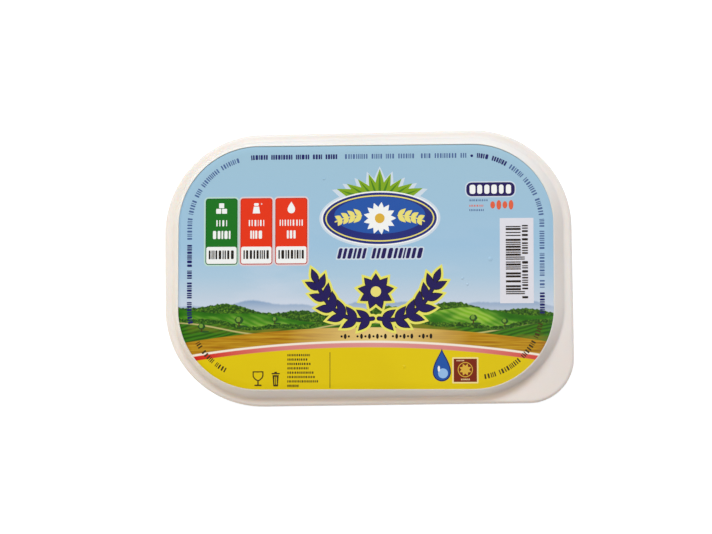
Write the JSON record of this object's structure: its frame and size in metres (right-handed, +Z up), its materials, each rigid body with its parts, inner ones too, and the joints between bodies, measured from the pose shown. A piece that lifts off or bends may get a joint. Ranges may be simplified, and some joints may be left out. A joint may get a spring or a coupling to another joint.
{
  "type": "shut plastic butter tub",
  "caption": "Shut oblong plastic tub of butter with rounded corners, a tapered wall and a press-on lid that has a raised printed panel and a corner pull tab.",
  "frame": {"origin": "centre of the tub's footprint box, on the plane of its foot ring", "axes": "+Z up through the lid, +X along the tub's long side, with the lid's pull tab at the +X, -Y corner"},
  "size_m": [0.125, 0.0838, 0.036],
  "materials": {
    "tub_plastic": "off-white moulded polypropylene, satin",
    "lid_plastic": "warm white moulded polypropylene, soft gloss",
    "label_film": "in-mould film printed with a sky, green hills and a yellow band"
  },
  "bodies": {
    "root": {"tub": "tub_plastic", "lid": "lid_plastic", "label": "label_film"}
  },
  "joints": []
}
